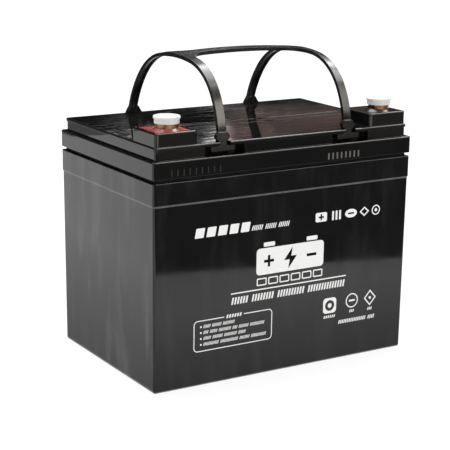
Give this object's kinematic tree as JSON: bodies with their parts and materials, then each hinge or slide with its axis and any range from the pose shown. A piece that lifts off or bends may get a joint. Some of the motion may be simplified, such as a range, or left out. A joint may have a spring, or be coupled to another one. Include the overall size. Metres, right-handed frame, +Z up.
{
  "type": "deep cycle battery",
  "caption": "Sealed lead-acid battery block with threaded terminals under pull-off caps at its front corners and a strap carrying handle over the lid.",
  "frame": {"origin": "centre of the footprint, on the surface the block stands on", "axes": "+X along the block's length, -Y out of the long front face with the terminals above it, +Z up"},
  "size_m": [0.195, 0.13, 0.2044],
  "materials": {
    "case_plastic": "moulded, satin gloss",
    "lid_plastic": "moulded, polished",
    "adhesive": "dull black epoxy",
    "handle_plastic": "satin",
    "cap_plastic": "milky, translucent",
    "terminal_brass": "turned",
    "resin_positive": "poured, glossy red",
    "resin_negative": "poured, glossy black",
    "lead": "cast lead, dull",
    "positive_plate": "brown pasted plate",
    "negative_plate": "grey pasted plate",
    "glass_mat": "absorbent glass mat",
    "valve_rubber": "soft black rubber",
    "seal_rubber": "soft black rubber",
    "felt": "pressed felt"
  },
  "bodies": {
    "battery": {"case": "case_plastic", "lid": "lid_plastic", "lid_adhesive": "adhesive", "top_cover": "lid_plastic", "vent_pads": "felt", "cell_welds": "lead", "valve_cap_1": "valve_rubber", "positive_plates_1": "positive_plate", "negative_plates_1": "negative_plate", "separators_1": "glass_mat", "positive_strap_1": "lead", "negative_strap_1": "lead", "valve_cap_2": "valve_rubber", "positive_plates_2": "positive_plate", "negative_plates_2": "negative_plate", "separators_2": "glass_mat", "positive_strap_2": "lead", "negative_strap_2": "lead", "valve_cap_3": "valve_rubber", "positive_plates_3": "positive_plate", "negative_plates_3": "negative_plate", "separators_3": "glass_mat", "positive_strap_3": "lead", "negative_strap_3": "lead", "valve_cap_4": "valve_rubber", "positive_plates_4": "positive_plate", "negative_plates_4": "negative_plate", "separators_4": "glass_mat", "positive_strap_4": "lead", "negative_strap_4": "lead", "valve_cap_5": "valve_rubber", "positive_plates_5": "positive_plate", "negative_plates_5": "negative_plate", "separators_5": "glass_mat", "positive_strap_5": "lead", "negative_strap_5": "lead", "valve_cap_6": "valve_rubber", "positive_plates_6": "positive_plate", "negative_plates_6": "negative_plate", "separators_6": "glass_mat", "positive_strap_6": "lead", "negative_strap_6": "lead", "terminal_positive": "terminal_brass", "terminal_ring_positive": "seal_rubber", "resin_positive": "resin_positive", "pillar_positive": "lead", "terminal_negative": "terminal_brass", "terminal_ring_negative": "seal_rubber", "resin_negative": "resin_negative", "pillar_negative": "lead"},
    "handle": {"handle": "handle_plastic"},
    "cap_positive": {"terminal_cap_positive": "cap_plastic"},
    "cap_negative": {"terminal_cap_negative": "cap_plastic"}
  },
  "joints": [
    {"name": "handle_lift", "type": "slide", "parent": "battery", "child": "handle", "axis": [0, 0, 1], "range_m": [0, 0.0006]},
    {"name": "cap_positive_lift", "type": "slide", "parent": "battery", "child": "cap_positive", "axis": [0, 0, 1], "range_m": [0, 0.06]},
    {"name": "cap_negative_lift", "type": "slide", "parent": "battery", "child": "cap_negative", "axis": [0, 0, 1], "range_m": [0, 0.06]}
  ]
}
